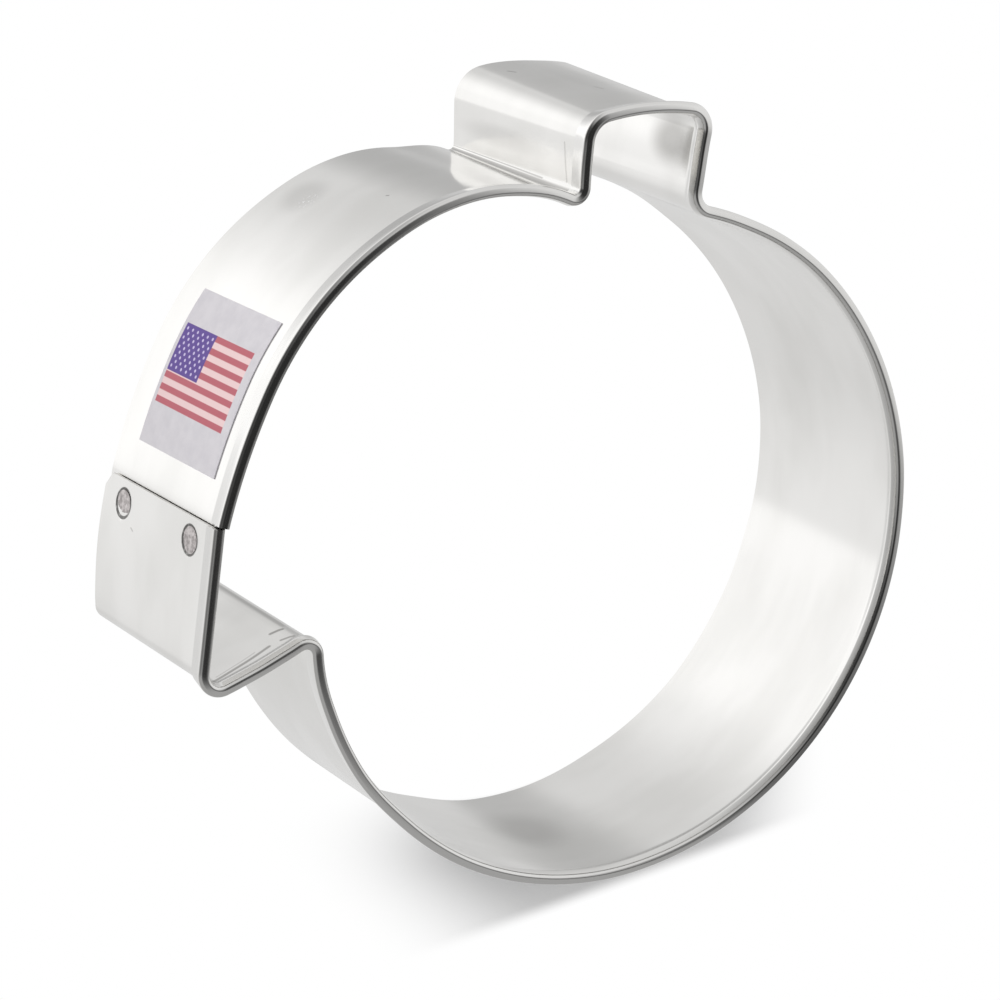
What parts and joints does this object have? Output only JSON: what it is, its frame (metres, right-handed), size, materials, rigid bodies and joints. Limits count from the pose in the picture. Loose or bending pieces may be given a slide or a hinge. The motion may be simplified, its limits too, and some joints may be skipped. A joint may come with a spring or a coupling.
{
  "type": "biscuit cutter",
  "caption": "Bent tinplate biscuit cutter: a deep strip formed to a round outline with a tab and a heel, with a thin cutting edge, a rolled grip rim and a stuck-on label.",
  "frame": {"origin": "on the plane of the cutting edge, under the middle of the band's outline box", "axes": "+Z from the cutting edge up to the rolled rim, +Y from the round body towards the tab, +X away from the welded seam"},
  "size_m": [0.0868, 0.0852, 0.0254],
  "materials": {
    "tinplate": "bright rolled tinplate, smooth, lightly hazed",
    "weld_steel": "dented and heat-marked",
    "label_film": "satin silver-lilac label with a printed striped field"
  },
  "bodies": {
    "root": {"formed_band": "tinplate", "spot_weld_edge_side": "weld_steel", "spot_weld_rim_side": "weld_steel", "label": "label_film"}
  },
  "joints": []
}
